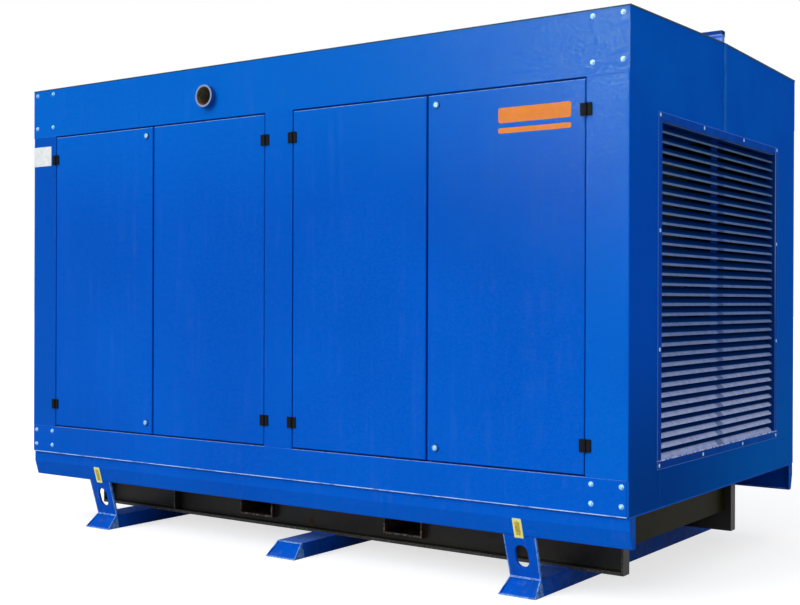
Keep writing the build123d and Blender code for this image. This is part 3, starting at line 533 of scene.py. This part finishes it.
post_blue = end_enamel("post_blue_enamel")
shader = post_blue.node_tree.nodes["Principled BSDF"]
side_paint = shader.inputs["Base Color"].links[0].from_socket
place, at = position(shader)
# Faces that look along X take the end walls' colours, which carry their painted shade and light.
sideways = between(away(facing(shader)["X"]), 0.55, 0.80)
front_paint = tint(between(noise(place, 0.9, 3.0, 0.5), 0.30, 0.70), (0.0, 0.098, 0.535), (0.0, 0.118, 0.600))
# The front faces are lighter toward the top and darker toward the left end: painted light and shade.
front_paint = tint(between(at["Z"], 1.55, 2.15), front_paint, (0.0, 0.128, 0.61))
front_paint = tint(between(at["X"], -1.2, -1.6), front_paint, (0.0, 0.080, 0.470))
connect(tint(sideways, front_paint, side_paint), shader.inputs["Base Color"])
speckle = between(noise(place, 62.0, 5.0, 0.8), 0.42, 0.58, 0.018, 0.110)
connect(times(speckle, between(sideways, 0.0, 1.0, 1.0, 0.2)), shader.inputs["Coat Weight"])
orange_peel(shader, place)
finish_nodes(post_blue, "corner_post_left_front", "corner_post_left_back", "corner_post_right_front",
             "corner_post_right_back")

OPENING_HALF, OPENING_LOW, FLANGE_HALF_Y, FLANGE_HALF_Z, GRILLE_Z = 0.6875, 0.5592, 0.7195, 0.7095, 1.236
grille_blue = end_enamel("grille_blue_enamel")
shader = grille_blue.node_tree.nodes["Principled BSDF"]
flange = shader.inputs["Base Color"].links[0].from_socket
place, at = position(shader)
height, away_x, away_y = at["Z"], away(at["X"]), away(at["Y"])
# Pale dust and painted sheen on the blades' outer edges, strongest and widest low down.
blade_dust_and_sheen = tint(between(height, 0.60, 1.15), (0.54, 0.64, 1.0), (0.20, 0.29, 0.56))
blade_dust_and_sheen = tint(between(height, 1.30, 1.90), blade_dust_and_sheen, (0.14, 0.23, 0.38))
reach = combine("SUBTRACT", away_x, between(height, 0.55, 1.45, 1.7200, 1.7295))
dust_and_sheen_band = times(between(reach, 0.0, 0.0045), between(away_y, 0.6846, 0.6840),
              between(noise(place, 22.0, 5.0, 0.65), 0.25, 0.60, 0.70, 1.0),
              between(noise(place, 140.0, 4.0, 0.7), 0.25, 0.60, 0.6, 1.0),
              between(away_y, 0.030, 0.042, 0.45, 1.0))
# The rest of each blade is dark navy: painted shade.
blade = tint(dust_and_sheen_band, (0.0, 0.046, 0.255), blade_dust_and_sheen)
mullion = times(between(away_y, 0.038, 0.034), between(away_x, 1.7180, 1.7050))
blade = tint(mullion, blade, (0.004, 0.060, 0.400))
shaded = between(noise(place, 9.0, 4.0, 0.6), 0.30, 0.60, 0.25, 0.60)
flange = tint(shaded, flange, (0.010, 0.050, 0.350))
# Pale lines on the flange's outer rim, along the opening's lower edge and down the far jamb: painted
# highlights.
outer_edge_highlight = combine("MAXIMUM", between(away_y, FLANGE_HALF_Y - 0.0017, FLANGE_HALF_Y),
                     between(away(height, GRILLE_Z), FLANGE_HALF_Z - 0.0017, FLANGE_HALF_Z))
flange = tint(outer_edge_highlight, flange, (0.07, 0.24, 0.76))
low_edge_highlight = times(between(away(height, OPENING_LOW), 0.0030, 0.0018),
                 between(noise(place, 60.0, 2.0, 0.5), 0.42, 0.56, 0.25, 1.0))
flange = tint(low_edge_highlight, flange, (0.62, 0.72, 1.0))
far_edge_highlight = times(between(away(at["Y"], OPENING_HALF), 0.0042, 0.0026), between(height, 1.0, 1.5, 0.1, 0.7))
flange = tint(far_edge_highlight, flange, (0.24, 0.42, 0.92))
connect(tint(between(away_x, 1.7495, 1.7502), blade, flange), shader.inputs["Base Color"])
finish_nodes(grille_blue, "louvre_left", "louvre_right")

FLANGE_X, SCREW_Y, SCREW_INNER_Y = 1.753, 0.703, 0.241
SCREW_LOW, SCREW_HIGH, SCREW_MIDDLES = 0.541, 1.934, (1.002, 1.475)
bm = bmesh.new()
for side in (-1, 1):
    spots = [(y, z) for y in (-SCREW_Y, -SCREW_INNER_Y, SCREW_INNER_Y, SCREW_Y)
             for z in (SCREW_LOW, SCREW_HIGH)]
    spots += [(y, z) for y in (-SCREW_Y, SCREW_Y) for z in SCREW_MIDDLES]
    for y, z in spots:
        rivet(bm, (side * FLANGE_X, y, z), (float(side), 0.0, 0.0), 0.0085, 0.001)
add_piece("grille_screws", bm, fastener_glint_blue, "canopy_and_skid")


# Roof
# Two blue sheet panels that fall from the ridge, with a folded cap snapped over the joint and a
# cover strip down each end wall. A dark bead runs round the eaves and gables.
finish_nodes(panel_blue, "roof_front", "roof_back")

cap_blue, shader = new_material("cap_blue_enamel")
place, at = position(shader)
patch = noise(place, 12.0, 4.0, 0.6)
on_strip = tint(between(patch, 0.35, 0.65), (0.010, 0.150, 0.620), (0.020, 0.185, 0.720))
# The neck below the hood is pale, a painted reflection; the hood is dark, a painted shade.
neck_painted_light = tint(between(patch, 0.30, 0.60), (0.10, 0.26, 0.72), (0.22, 0.40, 0.86))
hood_painted_shade = tint(between(patch, 0.30, 0.60), (0.008, 0.040, 0.170), (0.016, 0.062, 0.260))
colour = tint(between(at["Z"], 2.375, 2.379), neck_painted_light, hood_painted_shade)
connect(tint(between(away(at["X"]), 1.7450, 1.7460), colour, on_strip), shader.inputs["Base Color"])
shader.inputs["Roughness"].default_value = 0.45
shader.inputs["Specular IOR Level"].default_value = 0.0
relief(shader, noise(place, 75.0, 2.0, 0.6), 0.0004, 0.5)
finish_nodes(cap_blue, "ridge_cap")

EAVES_Y, EAVES_Z, GABLE_X, GABLE_TOP_Z = 0.9815, 2.3155, 1.7493, 2.3372
dark_edge_bead = mottled("roof_edge_dark_bead", (40.0, 4.0, 0.6), (0.35, 0.65),
                    ((0.0, 0.022, 0.060), (0.002, 0.050, 0.105)), 0.6, 0.0003, 0.2)
bm = bmesh.new()
for x in (-GABLE_X, GABLE_X):
    for y in (-EAVES_Y, EAVES_Y):
        weld_bead(bm, (x, y, EAVES_Z), (x, 0.0, GABLE_TOP_Z), 0.0042)
        weld_bead(bm, (x, y, EAVES_Z), (0.0, y, EAVES_Z), 0.0034)
add_piece("roof_edge_dark_bead", bm, dark_edge_bead, "canopy_and_skid")


# Doors
# Sheet-steel pans, sprayed blue outside and filled with black foam behind a perforated face.
# Four open at the front. The four at the back are the same, and are kept shut.
DOORS = {1: ("left_outer_door", -1.563, -0.8305), 2: ("left_inner_door", -0.8205, -0.088),
         3: ("right_inner_door", 0.088, 0.8205), 4: ("right_outer_door", 0.8305, 1.563)}
FOAM_MARGIN, FOAM_THICK, FOAM_HIGH, FOAM_Y, FOAM_Z = 0.046, 0.004, 1.488, 0.947, 1.287
foam, shader = new_material("door_foam")
cells = shader.id_data.nodes.new("ShaderNodeTexVoronoi")
cells.inputs["Scale"].default_value = 70.0
cells.inputs["Randomness"].default_value = 0.15
connect(on_object(shader), cells.inputs["Vector"])
dots = between(cells.outputs["Distance"], 0.25, 0.38)
connect(tint(dots, (0.004, 0.004, 0.004), (0.030, 0.031, 0.034)), shader.inputs["Base Color"])
shader.inputs["Roughness"].default_value = 0.8
shader.inputs["Specular IOR Level"].default_value = 0.05
relief(shader, dots, 0.001)
for index, (body, x0, x1) in DOORS.items():
    finish_nodes(panel_blue, f"door_{index}", f"back_door_{index}")
    for name, rides_on, side in ((f"door_lining_{index}", body, -1),
                                 (f"back_door_lining_{index}", "canopy_and_skid", 1)):
        bm = bmesh.new()
        rounded_plate(bm, (x1 - x0 - FOAM_MARGIN, FOAM_THICK, FOAM_HIGH), 0.004, 0.001)
        place_in(bm, Matrix.Translation(((x0 + x1) / 2, side * FOAM_Y, FOAM_Z)))
        add_piece(name, bm, foam, rides_on)


# Hinges and locks
# Cast black hinges, two to a door, screwed to the door and to the post beside it. The outer doors
# have two round key locks each, of bright zinc with a painted sky reflection, pushed through the pan and
# nutted behind.
hinge_black = mottled("hinge_black", (300.0, 3.0, 0.6), None,
                      ((0.004, 0.005, 0.007), (0.014, 0.015, 0.018)), (0.5, 0.65), 0.0003, 0.02)
finish_nodes(hinge_black, "hinge_frames_front", "hinges_back", *[f"door_hinges_{index}" for index in DOORS])

HINGE_AXES = {1: (-1.568, 1), 2: (-0.083, -1), 3: (0.083, 1), 4: (1.568, -1)}
HINGE_FACE_Y, HINGE_Z, HINGE_SCREW_X, HINGE_SCREW_Z = 0.988, (0.634, 1.935), 0.0165, 0.015
frame_screws = bmesh.new()
for index, (axis_x, side) in HINGE_AXES.items():
    door_screws = bmesh.new()
    for z in HINGE_Z:
        for screw_z in (z - HINGE_SCREW_Z, z + HINGE_SCREW_Z):
            for screws, x in ((door_screws, axis_x + side * HINGE_SCREW_X),
                              (frame_screws, axis_x - side * HINGE_SCREW_X)):
                rivet(screws, (x, -HINGE_FACE_Y, screw_z), FORWARD, 0.0042, 0.0012)
    add_piece(f"hinge_screws_{index}", door_screws, hinge_black, DOORS[index][0])
add_piece("hinge_frame_screws", frame_screws, hinge_black, "canopy_and_skid")

# Both lock colours are tinted blue: a painted sky reflection.
zinc = mottled("lock_zinc_sky_reflection", (160.0, 4.0, 0.6), None,
               ((0.22, 0.45, 0.80), (0.42, 0.66, 0.95)), (0.45, 0.6), 0.0002, 0.2, 0.25)
lock_body = mottled("lock_body_sky_reflection", (120.0, 4.0, 0.6), None,
                    ((0.03, 0.13, 0.42), (0.09, 0.24, 0.56)), (0.45, 0.6), 0.0002, 0.2, 0.2)
finish_nodes(lock_body, "locks_1", "locks_4")

LOCK_X, LOCK_Z, LOCK_FACE_Y, PLUG_Y, SLOT_Y = 0.872, (0.575, 2.013), 0.990, 0.9908, 0.9920
KEY_SLOT = Matrix.Diagonal((0.0090, 0.0008, 0.0026, 1.0))
for index, rides_on, x, side in ((1, DOORS[1][0], -LOCK_X, -1.0), (4, DOORS[4][0], LOCK_X, -1.0),
                                 ("back_left", "canopy_and_skid", -LOCK_X, 1.0),
                                 ("back_right", "canopy_and_skid", LOCK_X, 1.0)):
    outward = (0.0, side, 0.0)
    washers, faces, plugs, slots = bmesh.new(), bmesh.new(), bmesh.new(), bmesh.new()
    for z in LOCK_Z:
        rivet(washers, (x, side * FRONT_Y, z), outward, 0.0168, 0.0010, 32)
        if side > 0:
            rivet(faces, (x, FRONT_Y, z), outward, 0.0140, 0.0070, 32)
        rivet(faces, (x, side * LOCK_FACE_Y, z), outward, 0.0132, 0.0008, 32)
        rivet(plugs, (x, side * PLUG_Y, z), outward, 0.0084, 0.0012, 24)
        bmesh.ops.create_cube(slots, size=1.0, matrix=Matrix.Translation((x, side * SLOT_Y, z)) @ KEY_SLOT)
        bmesh.ops.bevel(slots, geom=slots.edges, offset=0.0002, segments=1, profile=0.5, affect="EDGES",
                        material=-1)
    add_piece(f"lock_washers_{index}", washers, hinge_black, rides_on)
    add_piece(f"lock_faces_{index}", faces, lock_body, rides_on)
    add_piece(f"lock_plugs_{index}", plugs, zinc, rides_on)
    add_piece(f"lock_slots_{index}", slots, hinge_black, rides_on)


# Orange bars
# Two plain bars of orange film with rounded corners, one wide and one narrow.
# They are cut to shape and stuck on the right outer door, near its top hinge.
BAR_X, BAR_Y, BAR_LONG, FILM_THICK = 1.3375, -0.9833, 0.330, 0.0006
orange = mottled("orange_film", (18.0, 4.0, 0.6), (0.3, 0.7),
                 ((0.66, 0.185, 0.024), (0.74, 0.225, 0.038)), (0.45, 0.55), 0.0001, 0.06)
for name, z, high, corner in (("wide", 1.942, 0.062, 0.012), ("narrow", 1.880, 0.022, 0.008)):
    bm = bmesh.new()
    rounded_plate(bm, (BAR_LONG, FILM_THICK, high), corner, 0.0002)
    place_in(bm, Matrix.Translation((BAR_X, BAR_Y, z)))
    add_piece(f"orange_bar_{name}", bm, orange, "right_outer_door")


# Exhaust and silencer
# Aluminised steel pipe, pale outside with a painted sky reflection, sooty and rusty inside, in a sleeve
# through the header.
# It comes from a drum silencer, rolled from the same sheet and browned by heat.
PIPE_X, PIPE_Z, BORE_R, SLEEVE_R = -0.454, 2.172, 0.0448, 0.0532
aluminised, shader = new_material("aluminised_pipe")
place, at = position(shader)
cloud = noise(place, 70.0, 5.0, 0.65)
across, above = combine("SUBTRACT", at["X"], PIPE_X), combine("SUBTRACT", at["Z"], PIPE_Z)
radius = combine("SQRT", combine("ADD", times(across, across), times(above, above)), 0.0)
inside = between(radius, BORE_R + 0.0014, BORE_R)
soot = tint(between(above, -0.006, -0.040), (0.17, 0.165, 0.115), (0.30, 0.085, 0.090))
soot = tint(between(cloud, 0.45, 0.70), soot, (0.050, 0.050, 0.040))
# Pale blue-grey outside: aluminised metal with a painted sky reflection.
outer = tint(between(cloud, 0.3, 0.7), (0.12, 0.20, 0.38), (0.20, 0.26, 0.42))
outer = tint(between(radius, SLEEVE_R, SLEEVE_R + 0.0005), outer, (0.012, 0.075, 0.330))
connect(tint(inside, outer, soot), shader.inputs["Base Color"])
connect(between(inside, 0.0, 1.0, 0.45, 0.9), shader.inputs["Roughness"])
connect(between(inside, 0.0, 1.0, 0.10, 0.0), shader.inputs["Metallic"])
shader.inputs["Specular IOR Level"].default_value = 0.2
relief(shader, cloud, 0.0005)
finish_nodes(aluminised, "tailpipe")

drum_steel, shader = new_material("silencer_steel")
place = on_object(shader)
grain = noise(place, 180.0, 3.0, 0.6)
connect(tint(between(noise(place, 6.0, 5.0, 0.6), 0.4, 0.7), (0.30, 0.30, 0.30), (0.20, 0.13, 0.085)),
        shader.inputs["Base Color"])
connect(between(grain, 0.3, 0.7, 0.40, 0.62), shader.inputs["Roughness"])
shader.inputs["Metallic"].default_value = 0.55
relief(shader, grain, 0.0004)
finish_nodes(drum_steel, "silencer")


# Engine, alternator and radiator
# Castings sprayed machine grey and dull with oil, bolted in line, and a black radiator with a
# finned core. Rubber hoses with steel clips join it to the engine, which has two oil filters.
cast_grey, shader = new_material("machine_grey")
place = on_object(shader)
oil = noise(place, 5.0, 6.0, 0.7)
connect(tint(between(oil, 0.48, 0.72), (0.135, 0.145, 0.150), (0.045, 0.042, 0.038)),
        shader.inputs["Base Color"])
connect(between(oil, 0.4, 0.7, 0.55, 0.35), shader.inputs["Roughness"])
shader.inputs["Specular IOR Level"].default_value = 0.15
relief(shader, noise(place, 190.0, 4.0, 0.65), 0.0008)
finish_nodes(cast_grey, "engine", "alternator")


def wave(place, direction, scale):
    bands = place.id_data.nodes.new("ShaderNodeTexWave")
    bands.bands_direction = direction
    bands.inputs["Scale"].default_value = scale
    connect(place, bands.inputs["Vector"])
    return bands.outputs["Fac"]


core_black, shader = new_material("radiator_black")
place = on_object(shader)
fins_and_tubes = combine("ADD", wave(place, "Z", 60.0), wave(place, "Y", 22.0))
connect(tint(between(fins_and_tubes, 0.4, 1.6), (0.006, 0.006, 0.006), (0.030, 0.030, 0.032)),
        shader.inputs["Base Color"])
shader.inputs["Roughness"].default_value = 0.6
relief(shader, fins_and_tubes, 0.002)
finish_nodes(core_black, "radiator")


def hose(bm, points, radius, bend, sides=16, bend_steps=8):
    path = [Vector(points[0])]
    for before, corner, after in zip(points, points[1:], points[2:]):
        before, corner, after = Vector(before), Vector(corner), Vector(after)
        start = corner + (before - corner).normalized() * bend
        end = corner + (after - corner).normalized() * bend
        for t in (i / bend_steps for i in range(bend_steps + 1)):
            path.append(start * (1 - t) ** 2 + corner * 2 * t * (1 - t) + end * t * t)
    path.append(Vector(points[-1]))
    angles = [2 * math.pi * k / sides for k in range(sides)]
    rings, across = [], (path[1] - path[0]).orthogonal().normalized()
    for i, point in enumerate(path):
        along = (path[min(i + 1, len(path) - 1)] - path[max(i - 1, 0)]).normalized()
        across = (across - along * across.dot(along)).normalized()
        other = along.cross(across)
        rings.append([bm.verts.new(point + radius * (math.cos(a) * across + math.sin(a) * other))
                      for a in angles])
    for first, second in zip(rings, rings[1:]):
        for k in range(sides):
            bm.faces.new((first[k], first[(k + 1) % sides], second[(k + 1) % sides], second[k]))
    bm.faces.new(rings[0])
    bm.faces.new(rings[-1])


LEFTWARD, RIGHTWARD, UPWARD, DOWNWARD = (-1.0, 0.0, 0.0), (1.0, 0.0, 0.0), (0.0, 0.0, 1.0), (0.0, 0.0, -1.0)
HOSE_R, CLIP_R, CLIP_WIDE, CLIP_BACK = 0.030, 0.0325, 0.012, 0.025
TOP_HOSE = [(1.030, 0.060, 1.260), (1.030, 0.060, 1.825), (1.242, 0.060, 1.825)]
LOW_HOSE = [(0.900, 0.200, 0.760), (0.900, 0.330, 0.760), (1.090, 0.330, 0.430), (1.242, 0.330, 0.430)]
bm = bmesh.new()
hose(bm, TOP_HOSE, HOSE_R, 0.090)
hose(bm, LOW_HOSE, HOSE_R, 0.070)
add_piece("coolant_hoses", bm, rubber, "canopy_and_skid")

bm = bmesh.new()
for end, inward in ((TOP_HOSE[0], UPWARD), (TOP_HOSE[-1], LEFTWARD),
                    (LOW_HOSE[0], BACKWARD), (LOW_HOSE[-1], LEFTWARD)):
    rivet(bm, Vector(end) + CLIP_BACK * Vector(inward), inward, CLIP_R, CLIP_WIDE, 24)
add_piece("hose_clips", bm, drum_steel, "canopy_and_skid")

FILTER_Y, FILTER_TOP = -0.258, 0.880
bm = bmesh.new()
for x in (0.430, 0.560):
    rivet(bm, (x, FILTER_Y, FILTER_TOP), DOWNWARD, 0.048, 0.175, 28)
    rivet(bm, (x, FILTER_Y, FILTER_TOP), UPWARD, 0.040, 0.030, 28)
add_piece("oil_filters", bm, hinge_black, "canopy_and_skid")

SHAFT_Z, COVER_Z, BLOCK_START, BLOCK_LONG, COVER_BOLTS = 0.860, 1.400, 0.090, 0.920, 6
bm = bmesh.new()
for x, circle, count, outward, bolt_r, bolt_high in ((BLOCK_START, 0.235, 12, RIGHTWARD, 0.011, 0.010),
                                                     (-0.780, 0.225, 8, LEFTWARD, 0.010, 0.008)):
    for a in (2 * math.pi * (k + 0.5) / count for k in range(count)):
        rivet(bm, (x, circle * math.sin(a), SHAFT_Z + circle * math.cos(a)), outward, bolt_r, bolt_high, 6)
for k in range(COVER_BOLTS):
    x = BLOCK_START + (k + 0.5) * BLOCK_LONG / COVER_BOLTS
    rivet(bm, (x, 0.0, COVER_Z), UPWARD, 0.012, 0.014, 6)
add_piece("casting_bolts", bm, cast_grey, "canopy_and_skid")
